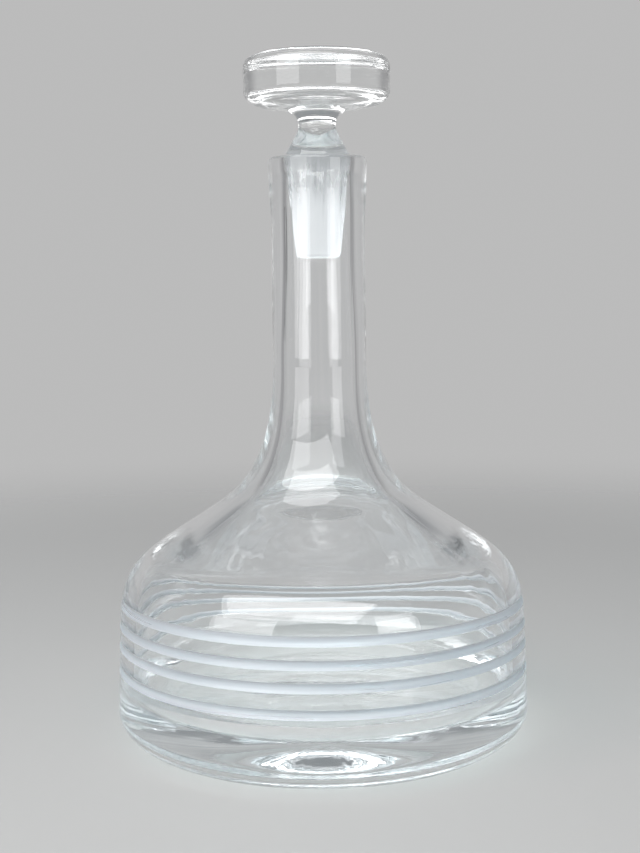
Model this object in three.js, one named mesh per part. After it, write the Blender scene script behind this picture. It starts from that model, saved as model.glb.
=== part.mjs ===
// Clear glass decanter: a mouth-blown bottle with a heavy base and a wide, low body, and a solid
// glass stopper with a thick round knob. The stopper stands in the neck by its ground plug and
// lifts straight out. Millimetres, +Z up, origin in the middle of the foot.

import * as THREE from 'three';

// Bottle, outside, from the table up
const bodyDiameter = 155; // widest, just above the rounded foot edge
const footEdgeWidth = 18.9; // how far the rounded edge reaches in to the flat foot
const footEdgeHeight = 12.5;
const wallHeight = 33.8; // nearly straight wall above the foot edge
const wallLean = 1.3; // inward lean of that wall over its height
const shoulderRise = 44; // from the wall's top to where the shoulder turns hollow
const shoulderDiameter = 73.5; // there
const shoulderSlope = 55.5; // degrees from upright, there
const shoulderCrown = 24; // pull of the full curve as it leaves the wall
const shoulderFall = 34.7; // pull of the full curve as it runs out to the slope
const neckSweep = 15.5; // pull of the hollow curve as it leaves the slope
const neckPull = 25; // pull of the hollow curve as it stands up into the neck
const neckRise = 51; // from the slope to the foot of the straight neck
const neckDiameter = 34.8;
const neckLength = 75.5; // from there to the lip
const lipDiameter = 36.3;
const lipFlare = 27; // depth below the lip from which the neck opens out to it
const lipRounding = 1.4; // fire-polished outer edge of the lip

// Bottle, inside
const baseThickness = 17; // solid glass under the bowl
const bowlCorner = 14; // radius between the bowl's floor and its wall
const bodyWall = 5.8;
const turnWall = 5; // thinnest, where the shoulder turns over
const turnPlace = 0.49; // there, as a share of the shoulder's full curve
const shoulderWall = 7.9; // at the slope, where the glass has gathered under the neck
const neckWall = 4; // at the foot of the straight neck
const boreNarrow = 32; // depth below the lip to which the bore stays at its narrowest

// Underside: the mark of the blowing iron is ground out to a shallow polished hollow
const pontilDiameter = 68;
const pontilDepth = 2.6;

// Matt grooves cut round the lower body, by hand and so not quite evenly spaced
const grooveHeights = [29.7, 38.6, 46.2, 54];
const grooveWidth = 3.5;
const grooveDepth = 0.8;

// Stopper: tapered plug, waisted stem and round knob
const plugDiameter = 24.4; // level with the lip
const plugEndDiameter = 16.6;
const plugLength = 36.5;
const plugEndRounding = 1.6;
const waistHeight = 11.5; // above the lip
const waistDiameter = 13.7;
const stemFlare = 5.5; // from the waist to where the stem has spread into the knob
const stemHeadDiameter = 24; // there
const knobDiameter = 53.9;
const undersideRise = 2; // the knob's underside climbs this much towards its rim
const knobLowerEdgeWidth = 6.3;
const knobLowerEdgeHeight = 4.8;
const knobBandHeight = 9; // straight band round the knob
const knobUpperEdgeWidth = 6.3;
const knobUpperEdgeHeight = 4;

// Ground seat in the mouth, with the taper of the plug
const seatLength = 6;
const seatClearance = 0.3; // all round the plug

// Facets
const bottleSegments = 60;
const stopperSegments = 56;
const grooveFacets = 4;

const bodyRadius = bodyDiameter / 2;
const footRadius = bodyRadius - footEdgeWidth;
const wallTop = footEdgeHeight + wallHeight;
const shoulderHeight = wallTop + shoulderRise;
const neckFoot = shoulderHeight + neckRise;
const lipHeight = neckFoot + neckLength;
const plugTaper = (plugDiameter - plugEndDiameter) / 2 / plugLength;
const seatMouthRadius = plugDiameter / 2 + seatClearance;
const boreRadius = seatMouthRadius - plugTaper * seatLength;

const point = (radius, height) => new THREE.Vector2(radius, height);
const curve = (a, b, c, d) => new THREE.CubicBezierCurve(a, b, c, d);

// Points of an elliptical edge round a centre, between two angles in degrees
function edge(centreRadius, centreHeight, width, height, from, to, facets) {
  const start = THREE.MathUtils.degToRad(from);
  const end = THREE.MathUtils.degToRad(to);
  const clockwise = to < from;
  const arc = new THREE.EllipseCurve(
    centreRadius, centreHeight, width, height, start, end, clockwise);
  return arc.getPoints(facets);
}

// Outside of the body: a full curve from the wall to the slope, then a hollow one into the neck
function bodyCurves() {
  const wallTopPoint = point(bodyRadius - wallLean, wallTop);
  const slopePoint = point(shoulderDiameter / 2, shoulderHeight);
  const neckPoint = point(neckDiameter / 2, neckFoot);
  const wallWay = point(-wallLean, wallHeight).normalize();
  const slope = THREE.MathUtils.degToRad(shoulderSlope);
  const slopeWay = point(-Math.sin(slope), Math.cos(slope));
  const along = (start, way, distance) => start.clone().addScaledVector(way, distance);
  const shoulder = curve(
    wallTopPoint,
    along(wallTopPoint, wallWay, shoulderCrown),
    along(slopePoint, slopeWay, -shoulderFall),
    slopePoint,
  );
  const throat = curve(
    slopePoint,
    along(slopePoint, slopeWay, neckSweep),
    along(neckPoint, point(0, 1), -neckPull),
    neckPoint,
  );
  return { shoulder, throat };
}

// The inside of a blown wall: the outside curve moved in by a thickness that eases from each wall
// to the next. Each wall stands with its place on the curve, from 0 to 1.
function innerWall(outside, walls, facets) {
  const points = [];
  for (let i = 0; i <= facets; i += 1) {
    const t = i / facets;
    const next = Math.max(1, walls.findIndex((wall) => wall.place >= t));
    const last = walls[next - 1];
    const eased = THREE.MathUtils.smoothstep(t, last.place, walls[next].place);
    const thickness = THREE.MathUtils.lerp(last.thickness, walls[next].thickness, eased);
    const way = outside.getTangent(t);
    const place = outside.getPoint(t);
    points.push(point(place.x - way.y * thickness, place.y + way.x * thickness));
  }
  return points;
}

// Radius of an outline that only climbs, at a height
function radiusAt(outline, height) {
  const next = outline.findIndex((place) => place.y >= height);
  const low = outline[next - 1];
  const high = outline[next];
  return THREE.MathUtils.mapLinear(height, low.y, high.y, low.x, high.x);
}

// A round-bottomed groove takes the place of the outline over its width
function cutGroove(outline, height) {
  const low = height - grooveWidth / 2;
  const high = height + grooveWidth / 2;
  const bottom = point(radiusAt(outline, low), low);
  const top = point(radiusAt(outline, high), high);
  const groove = [];
  for (let i = 0; i <= grooveFacets; i += 1) {
    const t = i / grooveFacets;
    const place = bottom.clone().lerp(top, t);
    place.x -= grooveDepth * 4 * t * (1 - t);
    groove.push(place);
  }
  const below = outline.filter((place) => place.y < low);
  const above = outline.filter((place) => place.y > high);
  return [...below, ...groove, ...above];
}

// A turned solid: the profile runs round the section with the glass on its left
function turned(name, profile, segments, material) {
  const apart = profile.filter((place, i) => i === 0 || place.distanceTo(profile[i - 1]) > 0.001);
  const geometry = new THREE.LatheGeometry(apart, segments);
  geometry.rotateX(Math.PI / 2);
  const mesh = new THREE.Mesh(geometry, material);
  mesh.name = name;
  return mesh;
}

// Underside: a polished hollow in the middle of the flat foot, with no edge where it starts
function undersideProfile() {
  const facets = 7;
  const profile = [];
  for (let i = 0; i <= facets; i += 1) {
    const t = i / facets;
    profile.push(point(t * pontilDiameter / 2, pontilDepth * (1 + Math.cos(t * Math.PI)) / 2));
  }
  return profile;
}

// Outside, from the flat foot up to the top of the lip
function outsideProfile(body) {
  const neckRadius = neckDiameter / 2;
  const lipRadius = lipDiameter / 2;
  const flareFoot = lipHeight - lipFlare;
  const flare = curve(
    point(neckRadius, flareFoot),
    point(neckRadius, flareFoot + lipFlare * 0.4),
    point(lipRadius, lipHeight - lipFlare * 0.4),
    point(lipRadius, lipHeight - lipRounding),
  );
  const plain = [
    ...edge(footRadius, footEdgeHeight, footEdgeWidth, footEdgeHeight, -90, 0, 7),
    ...body.shoulder.getPoints(11),
    ...body.throat.getPoints(8),
    ...flare.getPoints(4),
    ...edge(lipRadius - lipRounding, lipHeight - lipRounding, lipRounding, lipRounding, 0, 90, 3),
  ];
  return grooveHeights.reduce(cutGroove, plain);
}

// Inside, from the middle of the bowl's floor up to the mouth
function insideProfile(body) {
  const floorRadius = bodyRadius - bodyWall - bowlCorner;
  const boreFoot = point(neckDiameter / 2 - neckWall, neckFoot);
  const boreTop = point(boreRadius, lipHeight - boreNarrow);
  const third = (boreTop.y - boreFoot.y) / 3;
  const bore = curve(
    boreFoot,
    point(boreFoot.x, boreFoot.y + third),
    point(boreTop.x, boreTop.y - third),
    boreTop,
  );
  const shoulderWalls = [
    { place: 0, thickness: bodyWall },
    { place: turnPlace, thickness: turnWall },
    { place: 1, thickness: shoulderWall },
  ];
  const throatWalls = [
    { place: 0, thickness: shoulderWall },
    { place: 1, thickness: neckWall },
  ];
  return [
    point(0, baseThickness),
    ...edge(floorRadius, baseThickness + bowlCorner, bowlCorner, bowlCorner, -90, 0, 6),
    ...innerWall(body.shoulder, shoulderWalls, 10),
    ...innerWall(body.throat, throatWalls, 7),
    ...bore.getPoints(4),
    point(boreRadius, lipHeight - seatLength),
    point(seatMouthRadius, lipHeight),
  ];
}

function bottleGlass() {
  return new THREE.MeshStandardMaterial({
    color: 0xe6eeee, roughness: 0.03, metalness: 0, transparent: true, opacity: 0.35,
  });
}

function makeBottle() {
  const body = bodyCurves();
  const profile = [
    ...undersideProfile(),
    ...outsideProfile(body),
    ...insideProfile(body).reverse(),
  ];
  return turned('bottle', profile, bottleSegments, bottleGlass());
}

// Ground plug and the stem above it, up to where the stem has spread into the knob
function plugAndStemProfile() {
  const plugRadius = plugDiameter / 2;
  const endRadius = plugEndDiameter / 2 - plugEndRounding;
  const plugEnd = lipHeight - plugLength;
  const waistRadius = waistDiameter / 2;
  const waist = lipHeight + waistHeight;
  const headRadius = stemHeadDiameter / 2;
  const stemHead = waist + stemFlare;
  const cone = curve(
    point(plugRadius, lipHeight),
    point(plugRadius - waistHeight * 0.15, lipHeight + waistHeight * 0.4),
    point(waistRadius, waist - waistHeight * 0.25),
    point(waistRadius, waist),
  );
  const flare = curve(
    point(waistRadius, waist),
    point(waistRadius, waist + stemFlare * 0.6),
    point(headRadius - stemFlare * 0.6, stemHead - stemFlare * 0.1),
    point(headRadius, stemHead),
  );
  return [
    point(0, plugEnd),
    ...edge(endRadius, plugEnd + plugEndRounding, plugEndRounding, plugEndRounding, -90, 0, 3),
    ...cone.getPoints(5),
    ...flare.getPoints(5),
  ];
}

// Knob: rounded lower edge, straight band, flatter upper edge and flat top
function knobProfile() {
  const knobRadius = knobDiameter / 2;
  const lowerRadius = knobRadius - knobLowerEdgeWidth;
  const upperRadius = knobRadius - knobUpperEdgeWidth;
  const bandFoot = lipHeight + waistHeight + stemFlare + undersideRise + knobLowerEdgeHeight;
  const bandTop = bandFoot + knobBandHeight;
  return [
    ...edge(lowerRadius, bandFoot, knobLowerEdgeWidth, knobLowerEdgeHeight, -90, 0, 6),
    ...edge(upperRadius, bandTop, knobUpperEdgeWidth, knobUpperEdgeHeight, 0, 90, 6),
    point(0, bandTop + knobUpperEdgeHeight),
  ];
}

function stopperGlass() {
  return new THREE.MeshStandardMaterial({
    color: 0xeef3f4, roughness: 0.05, metalness: 0, transparent: true, opacity: 0.45,
  });
}

function makeStopper() {
  const profile = [...plugAndStemProfile(), ...knobProfile()];
  return turned('stopper', profile, stopperSegments, stopperGlass());
}

const decanter = new THREE.Group();
decanter.name = 'decanter';
decanter.add(makeBottle(), makeStopper());

export default decanter;
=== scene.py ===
import math

import bpy
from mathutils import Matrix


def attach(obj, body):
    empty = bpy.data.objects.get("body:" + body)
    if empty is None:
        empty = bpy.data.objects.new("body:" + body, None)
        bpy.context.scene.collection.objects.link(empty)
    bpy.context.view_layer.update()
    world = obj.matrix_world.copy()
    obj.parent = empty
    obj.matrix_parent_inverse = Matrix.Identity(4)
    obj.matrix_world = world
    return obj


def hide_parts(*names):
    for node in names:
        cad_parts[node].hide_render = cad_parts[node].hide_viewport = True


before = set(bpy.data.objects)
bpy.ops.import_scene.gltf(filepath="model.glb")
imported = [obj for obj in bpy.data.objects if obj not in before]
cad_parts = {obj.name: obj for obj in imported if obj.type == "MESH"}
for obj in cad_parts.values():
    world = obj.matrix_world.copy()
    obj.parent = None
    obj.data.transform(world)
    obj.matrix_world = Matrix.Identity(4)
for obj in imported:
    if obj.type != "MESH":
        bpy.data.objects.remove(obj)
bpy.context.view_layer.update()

# Bottle
# One piece of clear glass, blown to a wide low body on a heavy solid base and drawn up into a long
# neck. Four grooves are cut matt round the lower body, the iron's mark under the foot is ground out
# to a shallow polished hollow, and the mouth is ground to seat the stopper.

MM = 0.001

BODY_RADIUS = 77.5
FOOT_EDGE_WIDTH = 18.9
FOOT_EDGE_HEIGHT = 12.5
FOOT_FLAT_WIDTH = 8.0
WALL_TOP = (76.2, 46.3)
SHOULDER_PULLS = ((75.3, 70.2), (65.35, 70.65))
SHOULDER_END = (36.75, 90.3)
NECK_RADIUS = 17.4
THROAT_PULLS = ((23.98, 99.08), (NECK_RADIUS, 116.3))
NECK_FOOT = (NECK_RADIUS, 141.3)
FLARE_FOOT = (NECK_RADIUS, 189.8)
LIP_RADIUS = 18.15
FLARE_PULLS = ((NECK_RADIUS, 200.6), (LIP_RADIUS, 206.0))
LIP_HEIGHT = 216.8
LIP_ROUNDING = 1.4

FLOOR_HEIGHT = 17.0
BOWL_CORNER = 14.0
BODY_WALL = 5.8
TURN_WALL = 5.0
TURN_PLACE = 0.49
SHOULDER_WALL = 7.9
NECK_WALL = 4.0

PONTIL_RADIUS = 34.0
PONTIL_DEPTH = 2.6

GROOVE_HEIGHTS = [29.7, 38.6, 46.2, 54.0]
GROOVE_WIDTH = 3.5
GROOVE_DEPTH = 0.75

PLUG_RADIUS = 12.2
PLUG_END_RADIUS = 8.3
PLUG_LENGTH = 36.5
PLUG_TAPER = (PLUG_RADIUS - PLUG_END_RADIUS) / PLUG_LENGTH
SEAT_LENGTH = 6.0
SEAT_CLEARANCE = 0.3
MOUTH_RADIUS = PLUG_RADIUS + SEAT_CLEARANCE
BORE_RADIUS = MOUTH_RADIUS - PLUG_TAPER * SEAT_LENGTH
BORE_NARROW = 32.0
BORE_ROW = 20.0
SEAT_EDGE = 0.3
MOUTH_EDGE = 0.35

# how much of the unevenness of hot glass each side takes
OUTSIDE_SOFT = 0.25
INSIDE_SOFT = 1.0


def straight(start, end, count):
    """Points of a straight line from start to end."""
    return [tuple(a + (b - a) * i / count for a, b in zip(start, end)) for i in range(count + 1)]


def cubic(a, b, c, d, count):
    """Points of a cubic curve from a to d, pulled towards b and c."""
    points = []
    for i in range(count + 1):
        t = i / count
        s = 1 - t
        weights = (s * s * s, 3 * s * s * t, 3 * s * t * t, t * t * t)
        points.append(tuple(sum(w * p[k] for w, p in zip(weights, (a, b, c, d))) for k in (0, 1)))
    return points


def edge(centre, width, height, start, end, count):
    """Points of an elliptical edge round a centre, between two angles in degrees."""
    points = []
    for i in range(count + 1):
        turn = math.radians(start + (end - start) * i / count)
        points.append((centre[0] + width * math.cos(turn), centre[1] + height * math.sin(turn)))
    return points


def moved_in(line, walls):
    """The inside of a blown wall: an outside line moved in by a thickness that changes on the way
    between the walls given, each with its place along the line from 0 to 1."""
    points = []
    last = len(line) - 1
    for i, (radius, height) in enumerate(line):
        for (start, start_wall), (end, end_wall) in zip(walls, walls[1:]):
            if i / last <= end:
                break
        t = (i / last - start) / (end - start)
        wall = start_wall + (end_wall - start_wall) * t * t * (3 - 2 * t)
        before = line[max(i - 1, 0)]
        after = line[min(i + 1, last)]
        across, up = after[0] - before[0], after[1] - before[1]
        size = math.hypot(across, up)
        points.append((radius - up / size * wall, height + across / size * wall))
    return points


def shoulder_line(count):
    return cubic(WALL_TOP, *SHOULDER_PULLS, SHOULDER_END, count)


def throat_line(count):
    return cubic(SHOULDER_END, *THROAT_PULLS, NECK_FOOT, count)


def with_grooves(line):
    """The grooves are hollows with a round bottom and a crisp edge, cut into the plain wall. Rows
    of points lie close in each groove, one just past each edge, and the others a step apart."""
    low = GROOVE_HEIGHTS[0] - GROOVE_WIDTH
    high = GROOVE_HEIGHTS[-1] + GROOVE_WIDTH
    half = GROOVE_WIDTH / 2
    past_edge = half * 1.05
    clear = half * 1.15
    rows = 8
    step = 1.1
    heights = set()
    for groove in GROOVE_HEIGHTS:
        for i in range(-rows, rows + 1):
            heights.add(round(groove + half * i / rows, 4))
        heights.update((groove - past_edge, groove + past_edge))
    for i in range(int((high - low) / step) + 1):
        height = low + step * i
        if all(abs(height - groove) > clear for groove in GROOVE_HEIGHTS):
            heights.add(height)
    cut = [(r, z, 0.0) for r, z in line if z < low]
    for height in sorted(heights):
        for (r0, z0), (r1, z1) in zip(line, line[1:]):
            if z0 <= height <= z1:
                radius = r0 + (r1 - r0) * (height - z0) / (z1 - z0)
                break
        away = min(abs(height - groove) for groove in GROOVE_HEIGHTS) / half
        matt = 1.0 if away < 1.001 else 0.0
        radius -= GROOVE_DEPTH * max(0.0, 1 - away * away)
        cut.append((radius, height, matt))
    return cut + [(r, z, 0.0) for r, z in line if z > high]


def bottle_profile():
    """Radius, height, matt and soft for each point, from under the foot round to the floor."""
    rings = 36
    under = [(PONTIL_RADIUS * i / rings, PONTIL_DEPTH * (1 + math.cos(math.pi * i / rings)) / 2)
             for i in range(rings + 1)]
    foot_centre = (BODY_RADIUS - FOOT_EDGE_WIDTH, FOOT_EDGE_HEIGHT)
    under += [(foot_centre[0] - FOOT_FLAT_WIDTH, 0.0)]
    foot = edge(foot_centre, FOOT_EDGE_WIDTH, FOOT_EDGE_HEIGHT, -90, 0, count=26)
    lip_centre = (LIP_RADIUS - LIP_ROUNDING, LIP_HEIGHT - LIP_ROUNDING)
    flare = cubic(FLARE_FOOT, *FLARE_PULLS, (LIP_RADIUS, lip_centre[1]), count=14)
    lip = edge(lip_centre, LIP_ROUNDING, LIP_ROUNDING, 0, 90, count=8)
    shoulder = shoulder_line(count=60)
    outside = with_grooves(foot + shoulder + throat_line(count=44)[1:] + flare + lip[1:])

    wall_foot = (BODY_RADIUS - BODY_WALL - BOWL_CORNER, FLOOR_HEIGHT + BOWL_CORNER)
    bore_foot = (NECK_FOOT[0] - NECK_WALL, NECK_FOOT[1])
    bore_top = (BORE_RADIUS, LIP_HEIGHT - BORE_NARROW)
    third = (bore_top[1] - bore_foot[1]) / 3
    bore_pulls = ((bore_foot[0], bore_foot[1] + third), (bore_top[0], bore_top[1] - third))
    bore = cubic(bore_foot, *bore_pulls, bore_top, count=10)
    seat_foot = LIP_HEIGHT - SEAT_LENGTH
    inside = straight((0, FLOOR_HEIGHT), (wall_foot[0], FLOOR_HEIGHT), count=14)[:-1]
    inside += edge(wall_foot, BOWL_CORNER, BOWL_CORNER, -90, 0, count=18)
    inside += moved_in(
        shoulder, ((0, BODY_WALL), (TURN_PLACE, TURN_WALL), (1, SHOULDER_WALL)))
    inside += moved_in(throat_line(count=30), ((0, SHOULDER_WALL), (1, NECK_WALL)))[1:] + bore[1:]

    # a row about halfway up the narrow bore, and one close to each sharp edge of the ground seat
    inside += [(BORE_RADIUS, LIP_HEIGHT - BORE_ROW), (BORE_RADIUS, seat_foot - SEAT_EDGE)]
    seat = straight((BORE_RADIUS, seat_foot), (MOUTH_RADIUS, LIP_HEIGHT), count=6)
    mouth = [(MOUTH_RADIUS + MOUTH_EDGE, LIP_HEIGHT)] + seat[::-1]

    profile = [(r, z, 0.0, 0.0) for r, z in under]
    profile += [(r, z, matt, OUTSIDE_SOFT) for r, z, matt in outside]
    profile += [(r, z, 0.0, 0.0) for r, z in mouth]
    profile += [(r, z, 0.0, INSIDE_SOFT) for r, z in reversed(inside)]
    return profile


def turned_glass_tree():
    """Turns a profile about the upright axis, adds the slight unevenness of hot-worked glass, and
    gives the matt rows their own finish."""
    tree = bpy.data.node_groups.new("turned_glass", "GeometryNodeTree")
    face = tree.interface
    face.new_socket("Profile", in_out="INPUT", socket_type="NodeSocketGeometry")
    face.new_socket("Segments", in_out="INPUT", socket_type="NodeSocketInt")
    face.new_socket("Ripple Height", in_out="INPUT", socket_type="NodeSocketFloat")
    face.new_socket("Ripple Width", in_out="INPUT", socket_type="NodeSocketFloat")
    face.new_socket("Ripple Length", in_out="INPUT", socket_type="NodeSocketFloat")
    face.new_socket("Clear Glass", in_out="INPUT", socket_type="NodeSocketMaterial")
    face.new_socket("Matt Glass", in_out="INPUT", socket_type="NodeSocketMaterial")
    face.new_socket("Glass", in_out="OUTPUT", socket_type="NodeSocketGeometry")
    nodes, links = tree.nodes, tree.links

    def node(kind, **settings):
        made = nodes.new(kind)
        for name, value in settings.items():
            setattr(made, name, value)
        return made

    def maths(operation, a, b=None):
        made = node("ShaderNodeMath", operation=operation)
        for socket, value in zip(made.inputs, (a, b)):
            if isinstance(value, (int, float)):
                socket.default_value = value
            elif value is not None:
                links.new(value, socket)
        return made.outputs[0]

    given = node("NodeGroupInput").outputs
    size = node("GeometryNodeAttributeDomainSize", component="MESH")
    links.new(given["Profile"], size.inputs["Geometry"])
    rows = size.outputs["Point Count"]

    # a sheet with one column of points for each step round the axis
    sheet = node("GeometryNodeMeshGrid")
    links.new(maths("ADD", given["Segments"], 1), sheet.inputs["Vertices X"])
    links.new(rows, sheet.inputs["Vertices Y"])
    index = node("GeometryNodeInputIndex").outputs[0]
    column = maths("FLOOR", maths("DIVIDE", maths("ADD", index, 0.5), rows))
    row = maths("SUBTRACT", index, maths("MULTIPLY", column, rows))
    turn = maths("MULTIPLY", maths("DIVIDE", column, given["Segments"]), 2 * math.pi)

    def from_profile(kind, value):
        made = node("GeometryNodeSampleIndex", data_type=kind, domain="POINT")
        links.new(given["Profile"], made.inputs["Geometry"])
        links.new(value, made.inputs["Value"])
        links.new(row, made.inputs["Index"])
        return made.outputs[0]

    def named(name):
        made = node("GeometryNodeInputNamedAttribute", data_type="FLOAT")
        made.inputs["Name"].default_value = name
        return made.outputs["Attribute"]

    place = node("ShaderNodeSeparateXYZ")
    links.new(from_profile("FLOAT_VECTOR", node("GeometryNodeInputPosition").outputs[0]),
              place.inputs[0])
    turned = node("ShaderNodeCombineXYZ")
    links.new(maths("MULTIPLY", place.outputs["X"], maths("COSINE", turn)), turned.inputs["X"])
    links.new(maths("MULTIPLY", place.outputs["X"], maths("SINE", turn)), turned.inputs["Y"])
    links.new(place.outputs["Z"], turned.inputs["Z"])
    shape = node("GeometryNodeSetPosition")
    links.new(sheet.outputs["Mesh"], shape.inputs["Geometry"])
    links.new(turned.outputs[0], shape.inputs["Position"])
    current = shape.outputs[0]
    for name in ("matt", "soft"):
        keep = node("GeometryNodeStoreNamedAttribute", data_type="FLOAT", domain="POINT")
        keep.inputs["Name"].default_value = name
        links.new(current, keep.inputs["Geometry"])
        links.new(from_profile("FLOAT", named(name)), keep.inputs["Value"])
        current = keep.outputs[0]

    # the last column is joined to the first, and each pole's points to one another
    close = node("GeometryNodeMergeByDistance")
    close.inputs["Distance"].default_value = 1e-6
    links.new(current, close.inputs["Geometry"])

    # unevenness, longer up the piece than round it and always into the glass, so that no piece
    # grows past its size
    along = node("ShaderNodeSeparateXYZ")
    links.new(node("GeometryNodeInputPosition").outputs[0], along.inputs[0])
    stretched = node("ShaderNodeCombineXYZ")
    for axis, length in (("X", "Ripple Width"), ("Y", "Ripple Width"), ("Z", "Ripple Length")):
        links.new(maths("DIVIDE", along.outputs[axis], given[length]), stretched.inputs[axis])
    noise = node("ShaderNodeTexNoise")
    noise.inputs["Scale"].default_value = 1.0
    noise.inputs["Detail"].default_value = 1.0
    links.new(stretched.outputs[0], noise.inputs["Vector"])
    swell = maths("MULTIPLY", maths("SUBTRACT", noise.outputs[0], 1.0), given["Ripple Height"])
    offset = node("ShaderNodeVectorMath", operation="SCALE")
    links.new(node("GeometryNodeInputNormal").outputs[0], offset.inputs[0])
    links.new(maths("MULTIPLY", swell, named("soft")), offset.inputs["Scale"])
    uneven = node("GeometryNodeSetPosition")
    links.new(close.outputs[0], uneven.inputs["Geometry"])
    links.new(offset.outputs[0], uneven.inputs["Offset"])

    smooth = node("GeometryNodeSetShadeSmooth")
    links.new(uneven.outputs[0], smooth.inputs["Geometry"])
    real = node("GeometryNodeRealizeInstances")
    links.new(smooth.outputs[0], real.inputs["Geometry"])
    clear = node("GeometryNodeSetMaterial")
    links.new(real.outputs[0], clear.inputs["Geometry"])
    links.new(given["Clear Glass"], clear.inputs["Material"])

    # a face is matt where all its corners are
    matt = node("GeometryNodeSetMaterial")
    links.new(clear.outputs[0], matt.inputs["Geometry"])
    links.new(maths("GREATER_THAN", named("matt"), 0.9), matt.inputs["Selection"])
    links.new(given["Matt Glass"], matt.inputs["Material"])
    links.new(matt.outputs[0], node("NodeGroupOutput").inputs["Glass"])
    return tree


TURNING = turned_glass_tree()


def turned_piece(name, profile, sizes):
    """A plain closed mesh, turned by the tree from points of radius, height, matt and soft."""
    line = bpy.data.meshes.new(name + "_profile")
    points = [(r * MM, 0.0, z * MM) for r, z, _, _ in profile]
    line.from_pydata(points, [(i, i + 1) for i in range(len(points) - 1)], [])
    for place, key in ((2, "matt"), (3, "soft")):
        values = line.attributes.new(key, "FLOAT", "POINT")
        values.data.foreach_set("value", [point[place] for point in profile])
    work = bpy.data.objects.new(name + "_work", line)
    bpy.context.scene.collection.objects.link(work)
    turning = work.modifiers.new("turning", "NODES")
    turning.node_group = TURNING
    sockets = {item.name: item.identifier for item in TURNING.interface.items_tree
               if item.in_out == "INPUT"}
    for key, value in sizes.items():
        turning[sockets[key]] = value
    seen = work.evaluated_get(bpy.context.evaluated_depsgraph_get())
    mesh = bpy.data.meshes.new_from_object(seen)
    mesh.name = name
    mesh.materials.pop(index=0)  # the empty place that the sheet starts with
    work.modifiers.clear()
    bpy.data.objects.remove(work)
    piece = bpy.data.objects.new(name, mesh)
    bpy.context.scene.collection.objects.link(piece)
    return piece


def streaks_group():
    """Streaks that follow a turned surface. Round says how many to the radian, Up how many to the
    metre of height, Shift where in the noise they start, and the lean how much strength each metre
    above Level adds, which paints shade that changes with height."""
    group = bpy.data.node_groups.new("turned_streaks", "ShaderNodeTree")
    face = group.interface
    inputs = (("Round", 1.0), ("Up", 1.0), ("Detail", 2.0), ("Shift", 0.0), ("Painted Shade Lean", 0.0),
              ("Level", 0.0))
    for name, value in inputs:
        face.new_socket(name, in_out="INPUT", socket_type="NodeSocketFloat").default_value = value
    face.new_socket("Streaks", in_out="OUTPUT", socket_type="NodeSocketFloat")
    nodes, links = group.nodes, group.links
    given = nodes.new("NodeGroupInput").outputs
    where = nodes.new("ShaderNodeTexCoord")
    flat = nodes.new("ShaderNodeVectorMath")
    flat.operation = "MULTIPLY"
    flat.inputs[1].default_value = (1, 1, 0)
    links.new(where.outputs["Object"], flat.inputs[0])
    way = nodes.new("ShaderNodeVectorMath")
    way.operation = "NORMALIZE"
    links.new(flat.outputs[0], way.inputs[0])
    round_way = nodes.new("ShaderNodeVectorMath")
    round_way.operation = "SCALE"
    links.new(way.outputs[0], round_way.inputs[0])
    links.new(given["Round"], round_way.inputs["Scale"])
    split = nodes.new("ShaderNodeSeparateXYZ")
    links.new(round_way.outputs[0], split.inputs[0])
    height = nodes.new("ShaderNodeSeparateXYZ")
    links.new(where.outputs["Object"], height.inputs[0])
    up = nodes.new("ShaderNodeMath")
    up.operation = "MULTIPLY_ADD"
    links.new(height.outputs["Z"], up.inputs[0])
    links.new(given["Up"], up.inputs[1])
    links.new(given["Shift"], up.inputs[2])
    joined = nodes.new("ShaderNodeCombineXYZ")
    links.new(split.outputs["X"], joined.inputs["X"])
    links.new(split.outputs["Y"], joined.inputs["Y"])
    links.new(up.outputs[0], joined.inputs["Z"])
    noise = nodes.new("ShaderNodeTexNoise")
    noise.inputs["Scale"].default_value = 1.0
    links.new(joined.outputs[0], noise.inputs["Vector"])
    links.new(given["Detail"], noise.inputs["Detail"])
    above = nodes.new("ShaderNodeMath")
    above.operation = "SUBTRACT"
    links.new(height.outputs["Z"], above.inputs[0])
    links.new(given["Level"], above.inputs[1])
    lean = nodes.new("ShaderNodeMath")
    lean.operation = "MULTIPLY_ADD"
    links.new(above.outputs[0], lean.inputs[0])
    links.new(given["Painted Shade Lean"], lean.inputs[1])
    links.new(noise.outputs[0], lean.inputs[2])
    links.new(lean.outputs[0], nodes.new("NodeGroupOutput").inputs["Streaks"])
    return group


STREAKS = streaks_group()

REFRACTION = 1.51

# between which strengths of a streak the colour and the polish change
COLOUR_SPAN = (0.35, 0.65)
POLISH_SPAN = (0.3, 0.7)


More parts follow.
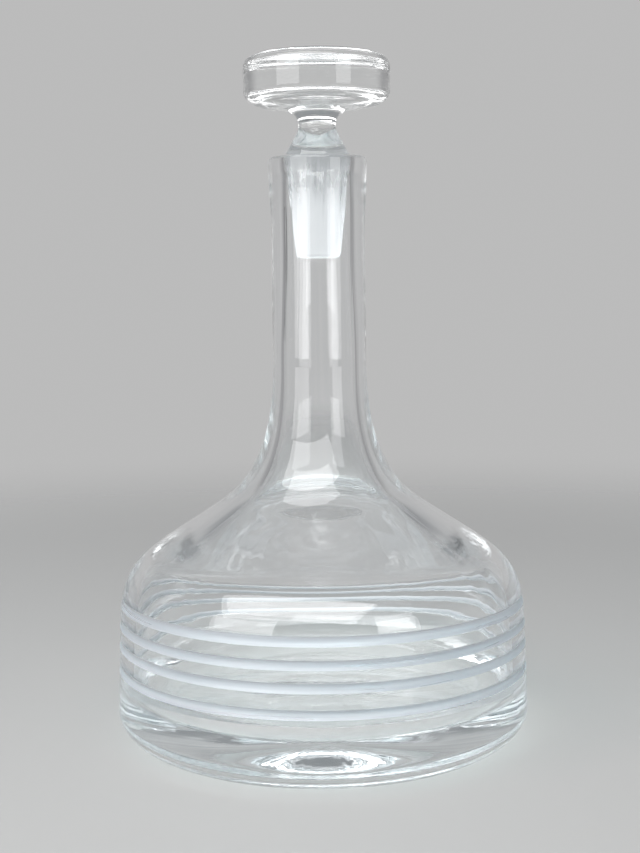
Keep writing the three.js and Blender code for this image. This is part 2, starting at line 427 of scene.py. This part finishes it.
def glass(name, colours, roughness, clearness, streaks, bump, shade, tint):
    """Glass with streaks in its colour, polish and surface. Shade is the part of the lamps' light
    that it lets through to what stands behind it, and tint the colour and density of its depth."""
    material = bpy.data.materials.new(name)
    material.use_nodes = True
    nodes, links = material.node_tree.nodes, material.node_tree.links
    nodes.clear()
    run = nodes.new("ShaderNodeGroup")
    run.node_tree = STREAKS
    for key, value in streaks.items():
        run.inputs[key].default_value = value
    body = nodes.new("ShaderNodeBsdfPrincipled")
    body.inputs["IOR"].default_value = REFRACTION
    body.inputs["Transmission Weight"].default_value = clearness
    colour = nodes.new("ShaderNodeValToRGB")
    for stop, place, shown in zip(colour.color_ramp.elements, COLOUR_SPAN, colours):
        stop.position = place
        stop.color = (*shown, 1)
    links.new(run.outputs["Streaks"], colour.inputs["Fac"])
    links.new(colour.outputs["Color"], body.inputs["Base Color"])
    polish = nodes.new("ShaderNodeMapRange")
    limits = zip(("From Min", "From Max", "To Min", "To Max"), (*POLISH_SPAN, *roughness))
    for limit, value in limits:
        polish.inputs[limit].default_value = value
    links.new(run.outputs["Streaks"], polish.inputs["Value"])
    links.new(polish.outputs["Result"], body.inputs["Roughness"])
    relief = nodes.new("ShaderNodeBump")
    relief.inputs["Strength"].default_value = bump[0]
    relief.inputs["Distance"].default_value = bump[1]
    links.new(run.outputs["Streaks"], relief.inputs["Height"])
    links.new(relief.outputs["Normal"], body.inputs["Normal"])
    lit = nodes.new("ShaderNodeBsdfTransparent")
    lit.inputs["Color"].default_value = (*shade, 1)
    path = nodes.new("ShaderNodeLightPath")
    mix = nodes.new("ShaderNodeMixShader")
    links.new(path.outputs["Is Shadow Ray"], mix.inputs["Fac"])
    links.new(body.outputs[0], mix.inputs[1])
    links.new(lit.outputs[0], mix.inputs[2])
    deep = nodes.new("ShaderNodeVolumeAbsorption")
    deep.inputs["Color"].default_value = (*tint[0], 1)
    deep.inputs["Density"].default_value = tint[1]
    output = nodes.new("ShaderNodeOutputMaterial")
    links.new(mix.outputs[0], output.inputs["Surface"])
    links.new(deep.outputs[0], output.inputs["Volume"])
    return material


BOTTLE_TINT = ((0.86, 0.93, 0.945), 3.4)

bottle_clear = glass(
    "bottle_clear_glass",
    colours=((0.975, 0.98, 0.985), (0.99, 0.992, 0.995)),
    roughness=(0.0, 0.012),
    clearness=1.0,
    streaks={"Round": 9.0, "Up": 14.0, "Detail": 1.0},
    bump=(0.12, 0.0004),
    shade=(0.93, 0.945, 0.94),
    tint=BOTTLE_TINT,
)
bottle_matt = glass(
    "bottle_matt_cut_glass",
    colours=((0.6, 0.61, 0.65), (0.73, 0.74, 0.775)),
    roughness=(0.26, 0.42),
    clearness=0.5,
    streaks={"Round": 1.2, "Up": 520.0, "Detail": 1.0},
    bump=(0.12, 0.0001),
    shade=(0.85, 0.87, 0.88),
    tint=BOTTLE_TINT,
)

SEGMENTS = 224

bottle = turned_piece("bottle_glass", bottle_profile(), {
    "Segments": SEGMENTS,
    "Ripple Height": 0.12 * MM,
    "Ripple Width": 24 * MM,
    "Ripple Length": 50 * MM,
    "Clear Glass": bottle_clear,
    "Matt Glass": bottle_matt,
})
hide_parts("bottle")
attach(bottle, "bottle")

# Stopper
# One solid piece of clear glass, pressed and polished: a thick round knob, a waisted stem and a
# tapered plug. The plug is ground matt so that it holds in the neck.

KNOB_RADIUS = 26.95
KNOB_LOWER_EDGE = (6.3, 4.8)
KNOB_UPPER_EDGE = (6.3, 4.0)
KNOB_BAND = 9.0
WAIST = (6.85, LIP_HEIGHT + 11.5)
STEM_HEAD = (12.0, LIP_HEIGHT + 17.0)
CONE_PULLS = ((PLUG_RADIUS - 1.73, LIP_HEIGHT + 4.6), (WAIST[0], WAIST[1] - 2.9))
SPREAD_PULLS = ((WAIST[0], WAIST[1] + 3.3), (STEM_HEAD[0] - 3.3, STEM_HEAD[1] - 0.55))
UNDERSIDE_RISE = 2.0
PLUG_END_ROUNDING = 1.6


def stopper_profile():
    """Radius, height, matt and soft for each point, from the plug's end up to the knob's top."""
    plug_end = LIP_HEIGHT - PLUG_LENGTH
    end_centre = (PLUG_END_RADIUS - PLUG_END_ROUNDING, plug_end + PLUG_END_ROUNDING)
    end = straight((0, plug_end), (end_centre[0], plug_end), count=4)[:-1]
    end += edge(end_centre, PLUG_END_ROUNDING, PLUG_END_ROUNDING, -90, 0, count=10)
    plug_top = (PLUG_RADIUS, LIP_HEIGHT)
    plug = straight((PLUG_END_RADIUS, end_centre[1]), plug_top, count=24)[1:]
    cone = cubic(plug_top, *CONE_PULLS, WAIST, count=20)
    spread = cubic(WAIST, *SPREAD_PULLS, STEM_HEAD, count=18)

    lower_centre = (KNOB_RADIUS - KNOB_LOWER_EDGE[0],
                    STEM_HEAD[1] + UNDERSIDE_RISE + KNOB_LOWER_EDGE[1])
    upper_centre = (KNOB_RADIUS - KNOB_UPPER_EDGE[0], lower_centre[1] + KNOB_BAND)
    lower = edge(lower_centre, *KNOB_LOWER_EDGE, -90, 0, count=24)
    upper = edge(upper_centre, *KNOB_UPPER_EDGE, 0, 90, count=24)
    underside = straight(STEM_HEAD, lower[0], count=8)[1:-1]
    band = straight(lower[-1], upper[0], count=6)[1:-1]
    top = straight(upper[-1], (0, upper[-1][1]), count=10)[1:]

    profile = [(r, z, 1.0, 0.0) for r, z in end + plug]
    profile += [(r, z, 0.0, 0.0) for r, z in cone[1:] + spread[1:] + underside]
    profile += [(r, z, 0.0, 0.0) for r, z in lower + band + upper + top]
    return profile


STOPPER_TINT = ((0.93, 0.95, 0.955), 1.0)

stopper_clear = glass(
    "stopper_polished_glass",
    colours=((0.97, 0.98, 0.98), (0.99, 0.995, 0.995)),
    roughness=(0.0, 0.01),
    clearness=1.0,
    streaks={"Round": 3.0, "Up": 60.0, "Detail": 1.0, "Shift": 4.0},
    bump=(0.1, 0.0003),
    shade=(0.93, 0.945, 0.945),
    tint=STOPPER_TINT,
)
# the lean in its streaks paints the ground plug darker towards its top and paler towards its end,
# which is painted shade; it also makes the grind smoother towards the top
stopper_matt = glass(
    "stopper_ground_glass",
    colours=((0.54, 0.555, 0.57), (0.8, 0.81, 0.825)),
    roughness=(0.1, 0.48),
    clearness=0.85,
    streaks={"Round": 7.0, "Up": 18.0, "Detail": 4.0, "Shift": 2.0, "Painted Shade Lean": -22.0,
             "Level": (LIP_HEIGHT - 10.5) * MM},
    bump=(0.3, 0.0002),
    shade=(0.8, 0.82, 0.83),
    tint=STOPPER_TINT,
)

stopper = turned_piece("stopper_glass", stopper_profile(), {
    "Segments": SEGMENTS,
    "Ripple Height": 0.0,
    "Ripple Width": 20 * MM,
    "Ripple Length": 20 * MM,
    "Clear Glass": stopper_clear,
    "Matt Glass": stopper_matt,
})
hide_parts("stopper")
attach(stopper, "stopper")

# Floor
# A plain pale floor, which lies a hair below the foot. It grows fainter outwards until only the
# pale surroundings are left, so that no edge of it shows.

FLOOR_RADIUS = 6.0
AIR_GAP = 0.0003
RIM_POINTS = 96
FLOOR_COLOUR = (0.47, 0.47, 0.465)
FADE_START = 0.25
FADE_END = 0.95


def floor_surface():
    material = bpy.data.materials.new("pale_floor")
    material.use_nodes = True
    nodes, links = material.node_tree.nodes, material.node_tree.links
    paint = nodes["Principled BSDF"]
    paint.inputs["Roughness"].default_value = 0.6
    paint.inputs["Base Color"].default_value = (*FLOOR_COLOUR, 1)
    where = nodes.new("ShaderNodeTexCoord")
    far = nodes.new("ShaderNodeVectorMath")
    far.operation = "LENGTH"
    links.new(where.outputs["Object"], far.inputs[0])
    fade = nodes.new("ShaderNodeMapRange")
    fade.interpolation_type = "SMOOTHERSTEP"
    fade.inputs["From Min"].default_value = FADE_START
    fade.inputs["From Max"].default_value = FADE_END
    links.new(far.outputs["Value"], fade.inputs["Value"])
    open_air = nodes.new("ShaderNodeBsdfTransparent")
    mix = nodes.new("ShaderNodeMixShader")
    links.new(fade.outputs["Result"], mix.inputs["Fac"])
    links.new(paint.outputs[0], mix.inputs[1])
    links.new(open_air.outputs[0], mix.inputs[2])
    links.new(mix.outputs[0], nodes["Material Output"].inputs["Surface"])
    return material


floor_mesh = bpy.data.meshes.new("floor")
rim = []
for i in range(RIM_POINTS):
    turn = 2 * math.pi * i / RIM_POINTS
    rim.append((FLOOR_RADIUS * math.cos(turn), FLOOR_RADIUS * math.sin(turn), -AIR_GAP))
floor_mesh.from_pydata(rim, [], [tuple(range(RIM_POINTS))])
floor_mesh.materials.append(floor_surface())
floor = bpy.data.objects.new("floor", floor_mesh)
bpy.context.scene.collection.objects.link(floor)

# Light
# A pale room, dimmer overhead and at the sides, which draws the edges of the glass, and with a dark
# strip to the left behind, which draws a line down the neck's bore. A wide high window in front
# lights the bottle, and two small low ones stand to its left and right.

PALE = (0.5, 0.5, 0.5)
SHADE = (0.3, 0.3, 0.305)
DARK = (0.15, 0.15, 0.152)
DIM = (0.26, 0.27, 0.28)

# where each shade comes in and where it is full, as x, y or z of the direction looked in
SIDES_NEAR = (0.62, 0.86)
SIDES_FAR = (0.98, 0.92)
STRIP_NEAR = (-0.84, -0.9)
STRIP_FAR = (-0.98, -0.92)
STRIP_FOOT = (0.02, 0.05)
STRIP_TOP = (0.15, 0.12)
STRIP_BEHIND = (0.1, 0.3)
OVERHEAD = (0.22, 0.5)

WINDOW_AIM = 0.1

world = bpy.data.worlds.new("pale_room")
world.use_nodes = True
bpy.context.scene.world = world
room_nodes, room_links = world.node_tree.nodes, world.node_tree.links
way = room_nodes.new("ShaderNodeTexCoord")
split = room_nodes.new("ShaderNodeSeparateXYZ")
room_links.new(way.outputs["Generated"], split.inputs[0])


def room_maths(operation, a, b=None):
    made = room_nodes.new("ShaderNodeMath")
    made.operation = operation
    room_links.new(a, made.inputs[0])
    if b is not None:
        room_links.new(b, made.inputs[1])
    return made.outputs[0]


def room_fade(value, span):
    made = room_nodes.new("ShaderNodeMapRange")
    made.interpolation_type = "SMOOTHERSTEP"
    made.inputs["From Min"].default_value, made.inputs["From Max"].default_value = span
    room_links.new(value, made.inputs["Value"])
    return made.outputs["Result"]


def room_product(*factors):
    product = factors[0]
    for factor in factors[1:]:
        product = room_maths("MULTIPLY", product, factor)
    return product


def room_mix(factor, a, b):
    made = room_nodes.new("ShaderNodeMix")
    made.data_type = "RGBA"
    room_links.new(factor, made.inputs["Factor"])
    for socket, colour in ((made.inputs["A"], a), (made.inputs["B"], b)):
        if isinstance(colour, tuple):
            socket.default_value = (*colour, 1)
        else:
            room_links.new(colour, socket)
    return made.outputs["Result"]


aside, behind, height = split.outputs
off_middle = room_maths("ABSOLUTE", aside)
sides = room_product(room_fade(off_middle, SIDES_NEAR), room_fade(off_middle, SIDES_FAR))
strip = room_product(
    room_fade(aside, STRIP_NEAR), room_fade(aside, STRIP_FAR), room_fade(height, STRIP_FOOT),
    room_fade(height, STRIP_TOP), room_fade(behind, STRIP_BEHIND))
walls = room_mix(strip, room_mix(sides, PALE, SHADE), DARK)
room = room_mix(room_fade(height, OVERHEAD), walls, DIM)
room_links.new(room, room_nodes["Background"].inputs["Color"])


def window(name, place, size, power):
    """A pane of light with its face turned to the bottle, at the height WINDOW_AIM."""
    light = bpy.data.lights.new(name, "AREA")
    light.shape = "RECTANGLE"
    light.size, light.size_y = size
    light.energy = power
    lamp = bpy.data.objects.new(name, light)
    lamp.location = place
    reach = math.hypot(place[0], place[1])
    lean = math.atan2(reach, place[2] - WINDOW_AIM)
    lamp.rotation_euler = (lean, 0, math.atan2(place[0], -place[1]))
    bpy.context.scene.collection.objects.link(lamp)


window("window_high", place=(-0.35, -0.95, 1.2), size=(2.2, 1.1), power=33)
window("window_left", place=(-0.85, -0.85, 0.33), size=(0.8, 0.5), power=3.8)
window("window_right", place=(0.8, -0.9, 0.33), size=(0.5, 0.5), power=2.4)

# thick glass hands light to and fro many times before it lets it out
cycles = bpy.context.scene.cycles
cycles.max_bounces = 32
cycles.transmission_bounces = 32
cycles.glossy_bounces = 24

# Camera
# It stands half a metre off, level with the neck, and looks a little down, to the middle of the
# bottle.

LENS = 59.09
SENSOR_WIDTH = 36
CAMERA_PLACE = (-0.0001, -0.52324, 0.16999)
LOOK_DOWN = 5.76
ROLL = -0.63

camera = bpy.data.objects.new("camera", bpy.data.cameras.new("camera"))
camera.data.lens = LENS
camera.data.sensor_width = SENSOR_WIDTH
camera.location = CAMERA_PLACE
camera.rotation_mode = "ZYX"
camera.rotation_euler = (math.radians(90 - LOOK_DOWN), 0, math.radians(ROLL))
camera.matrix_world = camera.matrix_basis  # Blender sets it only when it next works out the scene
bpy.context.scene.collection.objects.link(camera)
bpy.context.scene.camera = camera
bpy.context.scene.view_settings.view_transform = "Standard"
